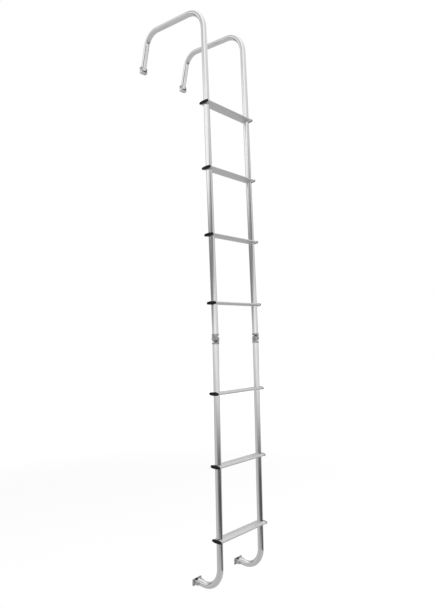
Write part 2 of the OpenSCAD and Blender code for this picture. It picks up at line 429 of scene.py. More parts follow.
def setSurface(tree, shader, tone, rough, height, depth):
    # colour, roughness and relief on the finish's shader
    bump = addNode(tree, "ShaderNodeBump", {"Strength": 1.0, "Distance": depth, "Height": height})
    for label, value in (("Base Color", tone), ("Roughness", rough), ("Normal", bump.outputs["Normal"])):
        tree.links.new(value, shader[label])


def makeTubeMetal(spec):
    # drawn tube, polished along its length
    material, tree, shader = newFinish("tubeMetal", 1.0)
    where = addNode(tree, "ShaderNodeAttribute", attribute_name="tubePlace").outputs["Vector"]
    lines = effect(tree, drawnLines, where, {
        "Line Width": spec["lineWidth"], "Line Length": spec["lineLength"]})
    hands = effect(tree, handling, where, {"Smudge Size": 0.06, "Scratch Size": 0.02})
    tone = blend(tree, lines["Streaks"], spec["dark"], spec["light"])
    tone = blend(tree, times(tree, hands["Smudge"], spec["smudge"]), tone, spec["smudged"])
    rough = scaledSum(
        tree, spec["roughness"], (lines["Lines"], 0.03), (hands["Smudge"], 0.04), (hands["Scratch"], 0.06))
    height = scaledSum(tree, 0.0, (lines["Lines"], 1.0), (hands["Scratch"], -0.3))
    setSurface(tree, shader, tone, rough, height, spec["lineDepth"])
    return material


def makeStepMetal(spec):
    # extruded and etched: duller than the tube, die lines along the step
    material, tree, shader = newFinish("stepMetal", 1.0)
    where = objectPlace(tree, run="X")
    lines = effect(tree, drawnLines, where, {
        "Line Width": spec["lineWidth"], "Line Length": spec["lineLength"]})
    hands = effect(tree, handling, where, {"Smudge Size": 0.05, "Scratch Size": 0.016})
    wear = effect(tree, wearAndShade, where, {
        "Edge Width": 0.0009, "Breakup Size": 0.012, "Recess Depth": 0.004})
    tone = blend(tree, lines["Streaks"], spec["dark"], spec["light"])
    # painted shade in the recesses, then bare metal on worn edges
    tone = recessShadeAndWear(tree, tone, wear, spec)
    rough = scaledSum(
        tree, spec["roughness"], (lines["Lines"], 0.06), (hands["Smudge"], 0.05), (wear["Worn"], -0.12))
    height = scaledSum(tree, 0.0, (lines["Lines"], 1.0), (hands["Scratch"], -0.6))
    setSurface(tree, shader, tone, rough, height, spec["lineDepth"])
    return material


def makeCastMetal(name, spec):
    # tumbled castings and pressings: fine skin, brighter edges, and painted shade in the recesses
    material, tree, shader = newFinish(name, 1.0)
    where = objectPlace(tree)
    grain = effect(tree, surfaceGrain, where, {"Grain Size": spec["grain"], "Pits": 0.5})
    wear = effect(tree, wearAndShade, where, {
        "Edge Width": 0.0010, "Breakup Size": 0.005, "Recess Depth": 0.010})
    hands = effect(tree, handling, where, {"Smudge Size": 0.02, "Scratch Size": 0.008})
    tone = blend(tree, grain["Mottle"], spec["dark"], spec["light"])
    # painted shade in the recesses, then bare metal on worn edges
    tone = recessShadeAndWear(tree, tone, wear, spec)
    rough = scaledSum(
        tree, spec["roughness"], (grain["Mottle"], 0.08), (hands["Smudge"], 0.05), (wear["Worn"], -0.18))
    height = scaledSum(tree, 0.0, (grain["Height"], 1.0), (hands["Scratch"], -0.5))
    setSurface(tree, shader, tone, rough, height, spec["grainDepth"])
    return material


def makePlated(name, spec):
    # plated or plain steel of bolts and screws
    material, tree, shader = newFinish(name, 1.0)
    where = objectPlace(tree)
    hands = effect(tree, handling, where, {"Smudge Size": 0.0025, "Scratch Size": 0.002})
    wear = effect(tree, wearAndShade, where, {
        "Edge Width": 0.0005, "Breakup Size": 0.002, "Recess Depth": 0.0015})
    tone = blend(tree, hands["Smudge"], spec["light"], spec["dark"])
    # painted shade in the recesses, then bare metal on worn edges
    tone = recessShadeAndWear(tree, tone, wear, spec)
    rough = scaledSum(
        tree, spec["roughness"], (hands["Smudge"], 0.10), (wear["Worn"], -0.10), (hands["Scratch"], 0.1))
    height = scaledSum(tree, 0.0, (hands["Smudge"], 0.5), (hands["Scratch"], -0.6))
    setSurface(tree, shader, tone, rough, height, spec["smudgeDepth"])
    return material


def makePlastic(name, spec):
    # black moulding with a spark-eroded skin
    material, tree, shader = newFinish(name, 0.0, {"Specular IOR Level": spec["specular"]})
    where = objectPlace(tree)
    grain = effect(tree, surfaceGrain, where, {"Grain Size": spec["grain"], "Pits": 0.0})
    wear = effect(tree, wearAndShade, where, {
        "Edge Width": 0.0007, "Breakup Size": 0.004, "Recess Depth": 0.004})
    hands = effect(tree, handling, where, {"Smudge Size": 0.012, "Scratch Size": 0.006})
    tone = blend(tree, grain["Mottle"], spec["dark"], spec["light"])
    tone = blend(tree, times(tree, wear["Worn"], spec["wear"]), tone, spec["rubbed"])
    rough = scaledSum(tree, spec["roughness"], (hands["Smudge"], 0.10), (wear["Worn"], -0.12))
    height = scaledSum(tree, 0.0, (grain["Height"], 1.0), (hands["Scratch"], -0.5))
    setSurface(tree, shader, tone, rough, height, spec["grainDepth"])
    return material


tubeMetal = makeTubeMetal({
    "dark": (0.775, 0.778, 0.782), "light": (0.815, 0.817, 0.820),
    "smudged": (0.74, 0.74, 0.735), "smudge": 0.35,
    "roughness": 0.10, "lineWidth": 0.55 * mm, "lineLength": 120 * mm, "lineDepth": 0.004 * mm,
})
# in the finishes below, the darkest colour with its recess amount is painted shade in recesses; bare is
# real edge wear
stepMetal = makeStepMetal({
    "dark": (0.690, 0.693, 0.697), "light": (0.735, 0.737, 0.740),
    "recessShade": (0.38, 0.38, 0.38), "recess": 0.45, "bare": (0.86, 0.86, 0.86), "wear": 0.5,
    "roughness": 0.34, "lineWidth": 0.45 * mm, "lineLength": 90 * mm, "lineDepth": 0.010 * mm,
})
hingeMetal = makeCastMetal("hingeMetal", {
    "dark": (0.42, 0.42, 0.42), "light": (0.54, 0.54, 0.54), "recessShade": (0.10, 0.10, 0.10), "recess": 0.90,
    "bare": (0.80, 0.80, 0.80), "wear": 0.7, "roughness": 0.30, "grain": 0.7 * mm, "grainDepth": 0.06 * mm,
})
footMetal = makeCastMetal("footMetal", {
    "dark": (0.66, 0.66, 0.66), "light": (0.76, 0.76, 0.76), "recessShade": (0.25, 0.25, 0.25), "recess": 0.70,
    "bare": (0.88, 0.88, 0.88), "wear": 0.7, "roughness": 0.26, "grain": 0.9 * mm, "grainDepth": 0.04 * mm,
})
boltSteel = makePlated("boltSteel", {
    "light": (0.58, 0.59, 0.61), "dark": (0.50, 0.51, 0.53), "recessShade": (0.12, 0.12, 0.12), "recess": 0.7,
    "bare": (0.80, 0.80, 0.81), "wear": 0.6, "roughness": 0.30, "smudgeDepth": 0.01 * mm,
})
screwSteel = makePlated("screwSteel", {
    "light": (0.62, 0.61, 0.60), "dark": (0.50, 0.49, 0.48), "recessShade": (0.08, 0.08, 0.08), "recess": 0.7,
    "bare": (0.78, 0.77, 0.76), "wear": 0.6, "roughness": 0.24, "smudgeDepth": 0.01 * mm,
})
capPlastic = makePlastic("capPlastic", {
    "dark": (0.006, 0.006, 0.006), "light": (0.010, 0.010, 0.010),
    "rubbed": (0.030, 0.030, 0.030), "wear": 0.5,
    "roughness": 0.58, "specular": 0.20, "grain": 0.45 * mm, "grainDepth": 0.03 * mm,
})
plugPlastic = makePlastic("plugPlastic", {
    "dark": (0.012, 0.012, 0.012), "light": (0.020, 0.020, 0.020),
    "rubbed": (0.05, 0.05, 0.05), "wear": 0.4,
    "roughness": 0.42, "specular": 0.45, "grain": 0.8 * mm, "grainDepth": 0.02 * mm,
})
print("finishes made")


# Rails: one bent tube per side and section, swept along a wire whose corners carry the bend's radius
tubeSpec = {
    "radius": 12.7 * mm,
    "wall": 1.65 * mm,
    "fromHinge": 20.8 * mm,        # where the tube starts at the hinge casting
    "pastPivot": 8.0 * mm,         # how far it reaches past the foot's bolt
    "boreRadius": 3.05 * mm,
    "lean": math.radians(1.4),
    "lowerBend": (86.0 * mm, math.radians(93.0)),
    "hookBend": (104.0 * mm, math.radians(83.5)),
    "reach": 206.0 * mm,
    "tipBend": (69.0 * mm, math.radians(81.0)),
    "bendSteps": 40,
    "sides": 56,
    "boreDrawOut": 10 * mm,        # past both ends of the tube
    "rodLength": 100 * mm,
    "sharpAbove": 40,
}


def along(heading):
    # unit vector in the side plane, turned from +Z towards +Y
    return Vector((0, math.sin(heading), math.cos(heading)))


def lowerWire(side, spec):
    pivot = jointPlace[side + "_lower_foot_pivot"]
    radius, angle = spec["lowerBend"]
    tail = along(-angle)
    corner = pivot + tail * ((hingePlace.y - pivot.y) / tail.y)
    top = Vector((pivot.x, hingePlace.y, hingePlace.z - spec["fromHinge"]))
    return [pivot - tail * spec["pastPivot"], corner, top], [0.0, radius, 0.0], pivot


def upperWire(side, spec):
    pivot = jointPlace[side + "_upper_foot_pivot"]
    hinge = Vector((pivot.x, hingePlace.y, hingePlace.z))
    (hookRadius, hookAngle), (tipRadius, tipAngle) = spec["hookBend"], spec["tipBend"]
    rise, over = along(spec["lean"]), along(spec["lean"] + hookAngle)
    drop = along(spec["lean"] + hookAngle + tipAngle)
    hookLeg, tipLeg = hookRadius * math.tan(hookAngle / 2), tipRadius * math.tan(tipAngle / 2)
    span = over * (hookLeg + spec["reach"] + tipLeg)
    gap = pivot - hinge - span      # what is left for rise * a + drop * b
    cross = rise.y * drop.z - rise.z * drop.y
    a = (gap.y * drop.z - gap.z * drop.y) / cross
    hook = hinge + rise * a
    return ([hinge + rise * spec["fromHinge"], hook, hook + span, pivot + drop * spec["pastPivot"]],
            [0.0, hookRadius, tipRadius, 0.0], pivot)


def tubeTree(spec):
    tree, given = addTree("bentTube", [
        ("Tube Radius", "Float"), ("Wall", "Float"), ("Sides", "Int"), ("Bend Steps", "Int"),
        ("Bore Radius", "Float"), ("Bore Place", "Vector")])
    wire = addNode(tree, "GeometryNodeMeshToCurve", {"Mesh": given["Geometry"]})
    corner = addNode(tree, "GeometryNodeInputNamedAttribute", {"Name": "bendRadius"}, data_type="FLOAT")
    bent = addNode(tree, "GeometryNodeFilletCurve", {
        "Curve": wire.outputs["Curve"], "Count": given["Bend Steps"],
        "Radius": corner.outputs["Attribute"]}, mode="POLY")
    # length along the tube and place on its round, kept for the lines of the finish
    spline = tree.nodes.new("GeometryNodeSplineParameter").outputs
    measured = tree.nodes.new("GeometryNodeCaptureAttribute")
    measured.capture_items.new("FLOAT", "length")
    tree.links.new(bent.outputs["Curve"], measured.inputs["Geometry"])
    tree.links.new(spline["Length"], measured.inputs["length"])
    tubeRound = addNode(tree, "GeometryNodeCurvePrimitiveCircle", {
        "Resolution": given["Sides"], "Radius": given["Tube Radius"]})
    placed = tree.nodes.new("GeometryNodeCaptureAttribute")
    placed.capture_items.new("VECTOR", "round")
    tree.links.new(tubeRound.outputs["Curve"], placed.inputs["Geometry"])
    tree.links.new(tree.nodes.new("GeometryNodeInputPosition").outputs["Position"], placed.inputs["round"])
    outer = addNode(tree, "GeometryNodeCurveToMesh", {
        "Curve": measured.outputs["Geometry"], "Profile Curve": placed.outputs["Geometry"],
        "Fill Caps": True})
    lift = addNode(tree, "ShaderNodeCombineXYZ", {"Z": measured.outputs["length"]})
    place = addNode(tree, "ShaderNodeVectorMath", {
        0: placed.outputs["round"], 1: lift.outputs[0]}, operation="ADD")
    marked = addNode(tree, "GeometryNodeStoreNamedAttribute", {
        "Geometry": outer.outputs["Mesh"], "Name": "tubePlace"}, data_type="FLOAT_VECTOR", domain="POINT")
    tree.links.new(place.outputs[0], marked.inputs["Value"])
    # bore of the tube: the same path, drawn out past both ends
    ends = addNode(tree, "GeometryNodeCurveEndpointSelection", {"Start Size": 1, "End Size": 1})
    tangent = tree.nodes.new("GeometryNodeInputTangent").outputs["Tangent"]
    drawOut = spec["boreDrawOut"]
    outward = treeMath(tree, "MULTIPLY_ADD", spline["Factor"], 2 * drawOut, -drawOut)
    draw = addNode(tree, "ShaderNodeVectorMath", {0: tangent, "Scale": outward}, operation="SCALE")
    longer = addNode(tree, "GeometryNodeSetPosition", {
        "Geometry": bent.outputs["Curve"], "Selection": ends.outputs["Selection"],
        "Offset": draw.outputs[0]})
    inside = treeMath(tree, "SUBTRACT", given["Tube Radius"], given["Wall"])
    boreRound = addNode(tree, "GeometryNodeCurvePrimitiveCircle", {
        "Resolution": given["Sides"], "Radius": inside})
    bore = addNode(tree, "GeometryNodeCurveToMesh", {
        "Curve": longer.outputs["Geometry"], "Profile Curve": boreRound.outputs["Curve"],
        "Fill Caps": True})
    rod = addNode(tree, "GeometryNodeMeshCylinder", {
        "Vertices": 32, "Radius": given["Bore Radius"], "Depth": spec["rodLength"]})
    across = addNode(tree, "GeometryNodeTransform", {
        "Geometry": rod.outputs["Mesh"], "Translation": given["Bore Place"],
        "Rotation": (0, math.pi / 2, 0)})
    cut = addNode(tree, "GeometryNodeMeshBoolean", {
        "Mesh 1": marked.outputs["Geometry"], "Mesh 2": bore.outputs["Mesh"]},
        operation="DIFFERENCE", solver="MANIFOLD")
    tree.links.new(across.outputs["Geometry"], cut.inputs["Mesh 2"])
    endTree(tree, given, cut.outputs["Mesh"])
    return tree


def makeRail(side, level, tree, spec):
    points, radii, pivot = (lowerWire if level == "lower" else upperWire)(side, spec)
    wire = meshFrom("wire", points, [], [(i, i + 1) for i in range(len(points) - 1)])
    corner = wire.attributes.new("bendRadius", "FLOAT", "POINT")
    corner.data.foreach_set("value", radii)
    rail = grow(addObject(side + "_" + level + "_tube", wire), tree, {
        "Tube Radius": spec["radius"], "Wall": spec["wall"], "Sides": spec["sides"],
        "Bend Steps": spec["bendSteps"], "Bore Radius": spec["boreRadius"], "Bore Place": pivot,
        "Material": tubeMetal})
    shadeBy(rail.data, spec["sharpAbove"])
    finishPiece(rail, sectionOf(level), tubeMetal, "tube", side + "_" + level + "_rail")


bentTube = tubeTree(tubeSpec)
for side in sideNames:
    for level in ("lower", "upper"):
        makeRail(side, level, bentTube, tubeSpec)
print("rails made")


# Steps: a fluted hollow section, drilled for both rails
stepSpec = {
    "count": 7,
    "lowerCount": 3,
    "depth": 49.5 * mm,
    "thick": 12.6 * mm,
    "edge": 3.8 * mm,
    "wall": 1.9 * mm,
    "overhang": 2.1 * mm,
    "fluteCount": 9,
    "flutePitch": 3.8 * mm,
    "fluteRadius": 0.9 * mm,
    "fluteClear": 1.2,             # of half a flute's width, kept free of the face's own points
    "boreRadius": 12.75 * mm,
    "belowHinge": 218.5 * mm,
    "lowerSpacing": 286.7 * mm,
    "aboveHinge": 146.0 * mm,
    "upperSpacing": 279.4 * mm,
    "arcPoints": 14,
    "edgePoints": 11,
    "coreDrawOut": 10 * mm,        # past both ends of the step
    "boreLength": 50 * mm,
    "sharpAbove": 32,
}


def wideArc(depth, thick, edge):
    return ((depth / 2 - edge) ** 2 - edge ** 2 + (thick / 2) ** 2) / (thick - 2 * edge)


def lensOutline(depth, thick, edge, spec, flutes=False):
    # flat oval of two wide arcs that meet in round edges, as (towards the vehicle, up)
    r = wideArc(depth, thick, edge)
    half = math.asin((depth / 2 - edge) / (r - edge))
    crown = lambda v: math.sqrt(r * r - v * v) - r + thick / 2
    count = spec["arcPoints"]
    top = [r * math.sin(half * i / count) for i in range(-count, count + 1)]
    upper = [(v, crown(v)) for v in top]
    if flutes:
        # a flute's centre stands half its radius above the face, which it meets 30 degrees below level
        reach = spec["fluteRadius"]
        chord = reach * math.cos(math.asin(0.5))
        arc = [math.radians(degrees) for degrees in range(-150, -29, 15)]
        middleFlute = (spec["fluteCount"] - 1) / 2
        middles = [(i - middleFlute) * spec["flutePitch"] for i in range(spec["fluteCount"])]
        clear = chord * spec["fluteClear"]
        upper = [(v, h) for v, h in upper if all(abs(v - m) > clear for m in middles)]
        for m in middles:
            upper += [(m + reach * math.cos(angle), crown(m) + reach / 2 + reach * math.sin(angle))
                      for angle in arc]
        upper.sort()
    lower = [(v, -crown(v)) for v in reversed(top)]
    step = (math.pi - 2 * half) / (spec["edgePoints"] + 1)
    turns = [math.pi / 2 - half - step * k for k in range(1, spec["edgePoints"] + 1)]
    vehicleEdge = [(depth / 2 - edge + edge * math.cos(turn), edge * math.sin(turn)) for turn in turns]
    outerEdge = [(-v, -h) for v, h in vehicleEdge]
    return upper + vehicleEdge + lower + outerEdge


def stepWire(spec):
    # the section's outside and its core as two closed wires, told apart by an attribute
    wall = spec["wall"]
    outside = lensOutline(spec["depth"], spec["thick"], spec["edge"], spec, flutes=True)
    core = lensOutline(spec["depth"] - 3 * wall, spec["thick"] - 2 * wall, spec["edge"] / 2, spec)
    points, edges, flags = [], [], []
    for outline, flag in ((outside, 0.0), (core, 1.0)):
        start = len(points)
        points += [(-v, -h, 0) for v, h in reversed(outline)]
        edges += [(start + i, start + (i + 1) % len(outline)) for i in range(len(outline))]
        flags += [flag] * len(outline)
    wire = meshFrom("wire", points, [], edges)
    wire.attributes.new("core", "FLOAT", "POINT").data.foreach_set("value", flags)
    return wire


def stepTree(spec):
    tree, given = addTree("drilledStep", [
        ("Length", "Float"), ("Rail Gap", "Float"), ("Bore Radius", "Float"),
        ("Place", "Vector"), ("Turn", "Vector")])
    flag = addNode(tree, "GeometryNodeInputNamedAttribute", {"Name": "core"}, data_type="FLOAT")
    isCore = treeMath(tree, "GREATER_THAN", flag.outputs["Attribute"], 0.5)
    parted = addNode(tree, "GeometryNodeSeparateGeometry", {
        "Geometry": given["Geometry"], "Selection": isCore}, domain="POINT")

    def extrusion(outline, extra):
        half = treeMath(tree, "MULTIPLY_ADD", given["Length"], 0.5, extra)
        start = addNode(tree, "ShaderNodeCombineXYZ", {"X": times(tree, half, -1.0)})
        end = addNode(tree, "ShaderNodeCombineXYZ", {"X": half})
        path = addNode(tree, "GeometryNodeCurvePrimitiveLine", {
            "Start": start.outputs[0], "End": end.outputs[0]})
        profile = addNode(tree, "GeometryNodeMeshToCurve", {"Mesh": outline})
        extruded = addNode(tree, "GeometryNodeCurveToMesh", {
            "Curve": path.outputs["Curve"], "Profile Curve": profile.outputs["Curve"], "Fill Caps": True})
        return extruded.outputs["Mesh"]

    bore = addNode(tree, "GeometryNodeMeshCylinder", {
        "Vertices": 64, "Radius": given["Bore Radius"], "Depth": spec["boreLength"]})
    outside = extrusion(parted.outputs["Inverted"], 0.0)
    core = extrusion(parted.outputs["Selection"], spec["coreDrawOut"])
    cut = addNode(tree, "GeometryNodeMeshBoolean", {
        "Mesh 1": outside, "Mesh 2": core}, operation="DIFFERENCE", solver="MANIFOLD")
    for share in (-0.5, 0.5):
        aside = addNode(tree, "ShaderNodeCombineXYZ", {"X": times(tree, given["Rail Gap"], share)})
        moved = addNode(tree, "GeometryNodeTransform", {
            "Geometry": bore.outputs["Mesh"], "Translation": aside.outputs[0]})
        tree.links.new(moved.outputs["Geometry"], cut.inputs["Mesh 2"])
    turn = addNode(tree, "FunctionNodeEulerToRotation", {"Euler": given["Turn"]})
    hung = addNode(tree, "GeometryNodeTransform", {
        "Geometry": cut.outputs["Mesh"], "Translation": given["Place"],
        "Rotation": turn.outputs["Rotation"]})
    endTree(tree, given, hung.outputs["Geometry"])
    return tree


def stepPlace(index, spec):
    # (middle of the step, lean, section), counted from the ground
    middle = Vector(((railX["left"] + railX["right"]) / 2, hingePlace.y, hingePlace.z))
    past = index - spec["lowerCount"]
    if past < 0:
        return middle - along(0) * (spec["belowHinge"] + (-1 - past) * spec["lowerSpacing"]), 0.0, "lower"
    lean = tubeSpec["lean"]
    return middle + along(lean) * (spec["aboveHinge"] + past * spec["upperSpacing"]), lean, "upper"


stepCount = stepSpec["count"]
stepLength = railGap + 2 * tubeSpec["radius"] + 2 * stepSpec["overhang"]


def makeStep(index, tree, spec):
    place, lean, level = stepPlace(index, spec)
    name = "step_" + str(index + 1)
    step = grow(addObject(name + "_tread", stepWire(spec)), tree, {
        "Length": stepLength, "Rail Gap": railGap, "Bore Radius": spec["boreRadius"],
        "Place": place, "Turn": Vector((-lean, 0, 0)), "Material": stepMetal})
    shadeBy(step.data, spec["sharpAbove"])
    finishPiece(step, sectionOf(level), stepMetal, "step", name)


drilledStep = stepTree(stepSpec)
for index in range(stepCount):
    makeStep(index, drilledStep, stepSpec)
print("steps made")


# End caps: a plate of the step's outline with a rounded shoulder and two lugs inside the step
capSpec = {
    "plate": 3.2 * mm,
    "lipAside": 0.5 * mm,
    "lipAbove": 0.9 * mm,
    "edge": 5.4 * mm,
    "shoulder": 0.9 * mm,
    "crown": 0.25 * mm,
    "lug": 9.0 * mm,
    "lugFrom": 14.7 * mm,
    "lugGap": 0.1 * mm,
    "lugSink": 0.3 * mm,           # into the plate
    "chamfer": 0.3 * mm,
    "lastEdge": 0.3 * mm,          # edge radius of the innermost ring
    "shoulderSteps": 5,
    "crownShares": (0.4, 0.8, 1.0),
    "sharpAbove": 40,
}


def capRings(spec):
    # from the step's end outwards: a chamfer, the side, the rounded shoulder and a slightly domed face
    edge, plate, shoulder, crown = (spec[key] for key in ("edge", "plate", "shoulder", "crown"))
    depth, thick = stepSpec["depth"] + 2 * spec["lipAside"], stepSpec["thick"] + 2 * spec["lipAbove"]
    flat = plate - crown
    stages = [(spec["chamfer"], 0.0), (0.0, spec["chamfer"]), (0.0, flat - shoulder)]
    for k in range(1, spec["shoulderSteps"] + 1):
        angle = math.pi / 2 * k / spec["shoulderSteps"]
        stages.append((shoulder * (1 - math.cos(angle)), flat - shoulder * (1 - math.sin(angle))))
    inner = edge - spec["lastEdge"]
    for share in spec["crownShares"]:
        stages.append((shoulder + (inner - shoulder) * share, flat + crown * math.sin(math.pi / 2 * share)))
    rings = []
    for inset, x in stages:
        outline = lensOutline(depth - 2 * inset, thick - 2 * inset, edge - inset, stepSpec)
        rings.append([Vector((x, v, h)) for v, h in outline])
    return rings


def lugRings(spec, sign):
    wall, gap = stepSpec["wall"], spec["lugGap"]
    depth, thick = stepSpec["depth"] - 3 * wall - gap, stepSpec["thick"] - 2 * wall - gap
    edge = stepSpec["edge"] / 2 - gap / 2
    r = wideArc(depth, thick, edge)
    height = math.sqrt(r * r - spec["lugFrom"] ** 2) - r + thick / 2
    outline = [(v, h) for v, h in lensOutline(depth, thick, edge, stepSpec) if v > spec["lugFrom"]]
    outline = [(spec["lugFrom"], height)] + outline + [(spec["lugFrom"], -height)]
    return [[Vector((x, sign * v, h)) for v, h in outline] for x in (-spec["lug"], spec["lugSink"])]


def makeCap(index, side, spec):
    place, lean, level = stepPlace(index, stepSpec)
    outward = 1 if side == "right" else -1
    name = "step_" + str(index + 1) + "_" + side + "_cap"
    seat = (Matrix.Translation(place + Vector((outward * stepLength / 2, 0, 0)))
            @ Matrix.Rotation(-lean, 4, "X") @ Matrix.Diagonal((outward, 1, 1, 1)))
    solids = [loft(capRings(spec)), loft(lugRings(spec, 1)), loft(lugRings(spec, -1))]
    mesh = solidsMesh(name + "_moulding", solids, seat)
    shadeBy(mesh, spec["sharpAbove"])
    finishPiece(addObject(name + "_moulding", mesh), sectionOf(level), capPlastic, "cap", name)


for index in range(stepCount):
    for side in sideNames:
        makeCap(index, side, capSpec)
print("end caps made")


# Castings: the hinge halves with their collars, tongues and knuckles
hingeSpec = {
    "collarRadius": 14.3 * mm,
    "collarFrom": 13.4 * mm,       # from the bolt to the collar
    "collarTo": 20.8 * mm,
    "collarRound": 1.1 * mm,
    "spigotRadius": 10.9 * mm,
    "spigotTo": 26.0 * mm,
    "knuckle": 11.0 * mm,
    "tongueFrom": 0.15 * mm,
    "tongueTo": 11.2 * mm,
    "tongueRound": 0.9 * mm,
    "tongueSink": 1.5 * mm,        # into the collar
    "tongueInner": 0.4 * mm,       # round of the edge at the middle of the hinge
    "stations": [x * mm for x in (3.0, 6.0, 8.6, 9.3, 9.9)],   # closer where the collar narrows it
    "knucklePoints": 28,
    "sides": 72,
    "fillet": 2.2 * mm,            # where the tongue runs into the collar
    "boreRadius": 4.1 * mm,
    "drillPast": 2.0 * mm,
    "sharpAbove": 40,
}


def quarter(radius, steps=5):
    # (inset, depth) down a rounded edge, from the face to the side
    angles = [math.pi / 2 * k / steps for k in range(steps + 1)]
    return [(radius * (1 - math.sin(angle)), radius * (1 - math.cos(angle))) for angle in angles]


def filletCurve(steps=6):
    # (out, up) along a hollow quarter round, from the flat it stands on up to the side
    angles = [math.pi / 2 * k / steps for k in range(steps + 1)]
    return [(1 - math.sin(angle), 1 - math.cos(angle)) for angle in angles]


def collarSolid(spec):
    # collar with rounded edges and the start of the spigot inside the tube
    r, low, high = spec["collarRadius"], -spec["collarTo"], -spec["collarFrom"]
    stages = [(spec["spigotRadius"], -spec["spigotTo"]), (spec["spigotRadius"], low)]
    stages += [(r - inset, low + depth) for inset, depth in quarter(0.5 * spec["collarRound"])]
    stages += [(r - inset, high - depth) for inset, depth in reversed(quarter(spec["collarRound"]))]
    return loft([ringAt(radius, z, spec["sides"]) for radius, z in stages])


def tongueRing(x, inset, spec):
    # the tongue's outline at x: straight sides up from the collar and the knuckle's round over the bolt
    within = math.sqrt(spec["collarRadius"] ** 2 - x * x)
    radius = spec["knuckle"] - inset
    width = min(radius, within - inset)
    start = math.acos(min(1.0, width / radius))
    count = spec["knucklePoints"]
    arc = [start + (math.pi - 2 * start) * k / count for k in range(count + 1)]
    upper = [(radius * math.cos(a), radius * math.sin(a)) for a in arc]
    bottom, fillet = -spec["collarFrom"], spec["fillet"]
    room = max(0.0, min(fillet, within - spec["collarRound"] - width))
    flare = [(width + room * out, bottom + fillet * high) for out, high in filletCurve()]
    right = [(flare[0][0], bottom - spec["tongueSink"])] + flare
    left = [(-y, z) for y, z in reversed(right)]
    return [Vector((x, y, z)) for y, z in right + upper + left]


def tongueSolid(spec):
    first, last = spec["tongueFrom"], spec["tongueTo"]
    stations = [(first + depth, inset) for inset, depth in quarter(spec["tongueInner"], 3)]
    stations += [(x, 0.0) for x in spec["stations"]]
    stations += [(last - depth, inset) for inset, depth in reversed(quarter(spec["tongueRound"]))]
    return loft([tongueRing(x, inset, spec) for x, inset in stations])


def makeHingeCasting(side, level, spec):
    # modelled for the left lower half, then turned to its place
    mirrored = 1 if side == "left" else -1
    turn = Matrix.Diagonal((mirrored, 1, 1, 1))
    if level == "upper":
        turn = Matrix.Rotation(-tubeSpec["lean"], 4, "X") @ turn @ Matrix.Rotation(math.pi, 4, "Y")
    axis = Vector((railX[side], hingePlace.y, hingePlace.z))
    name = side + "_hinge_" + level
    tongue = solidsMesh(name + "_tongue", [tongueSolid(spec)], Matrix.Identity(4))
    casting = addObject(name + "_casting", tongue)
    through = (-spec["drillPast"], spec["tongueTo"] + spec["drillPast"])
    drill(casting, (0,), spec["boreRadius"], through, Matrix.Rotation(math.pi / 2, 4, "Y"))
    collar = solidsMesh(name + "_collar", [collarSolid(spec)], Matrix.Identity(4))
    joinTo(casting, collar, Matrix.Translation(axis) @ turn)
    shadeBy(casting.data, spec["sharpAbove"])
    finishPiece(casting, sectionOf(level), hingeMetal, "casting", name)


for side in sideNames:
    for level in ("lower", "upper"):
        makeHingeCasting(side, level, hingeSpec)
print("hinge castings made")


# Feet: a drilled plate with two ears, made about the pivot with the plate below
footSpec = {
    "plate": 3.5 * mm,
    "pivotToFace": 21.0 * mm,
    "edgeRound": 0.5 * mm,
    "earOut": 16.0 * mm,
    "ear": 3.0 * mm,
    "earRadius": 9.0 * mm,
    "earRound": 0.6 * mm,
    "roundAtMost": 0.9,            # of half the ear's width, near its top
    "fillet": 1.8 * mm,
    "earSink": 1.5 * mm,           # into the plate
    "rimLeft": 0.2 * mm,           # beside the ear's fillet
    "holeRadius": 2.5 * mm,
    "drillPast": 5.0 * mm,
    "sharpAbove": 40,
    "lower": {"length": 28.0 * mm, "rim": 9.0 * mm, "corner": 4.0 * mm, "screwAside": 20.0 * mm},
    "upper": {"length": 20.0 * mm, "rim": 0.5 * mm, "corner": 1.5 * mm, "screwAside": 7.0 * mm},
}


def roundedRing(xLow, xHigh, half, corner, z):
    # rounded rectangle at height z, from xLow to xHigh and half to each side
    ring = []
    for x, y, start in ((xHigh - corner, half - corner, 0), (xLow + corner, half - corner, 90),
                        (xLow + corner, corner - half, 180), (xHigh - corner, corner - half, 270)):
        for k in range(7):
            angle = math.radians(start + 15 * k)
            ring.append(Vector((x + corner * math.cos(angle), y + corner * math.sin(angle), z)))
    return ring


def plateSolid(level, spec):
    halfX, halfY = spec["earOut"] + spec[level]["rim"], spec[level]["length"] / 2
    low, high = -spec["pivotToFace"], spec["plate"] - spec["pivotToFace"]
    edge = quarter(spec["edgeRound"], 4)
    stages = [(inset, low + depth) for inset, depth in edge]
    stages += [(inset, high - depth) for inset, depth in reversed(edge)]
    return loft([roundedRing(inset - halfX, halfX - inset, halfY - inset, spec[level]["corner"] - inset, z)
                 for inset, z in stages])


def earSolid(sign, level, spec):
    inner, outer, radius = spec["earOut"] - spec["ear"], spec["earOut"], spec["earRadius"]
    bottom, fillet = spec["plate"] - spec["pivotToFace"], spec["fillet"]
    outRoom = min(fillet, spec[level]["rim"] - spec["rimLeft"])
    sideRoom = max(0.0, min(fillet, spec[level]["length"] / 2 - radius - spec["edgeRound"]))
    stages = [(bottom - spec["earSink"], radius, 1.0)]
    stages += [(bottom + fillet * high, radius, out) for out, high in filletCurve()]
    over = [math.radians(degrees) for degrees in range(0, 88, 5)]
    stages += [(radius * math.sin(angle), radius * math.cos(angle), 0.0) for angle in over]
    rings = []
    for z, half, flare in stages:
        low, high = inner - fillet * flare, outer + outRoom * flare
        wide = half + sideRoom * flare
        ends = (low, high) if sign > 0 else (-high, -low)
        rings.append(roundedRing(*ends, wide, min(spec["earRound"], spec["roundAtMost"] * wide), z))
    return loft(rings)


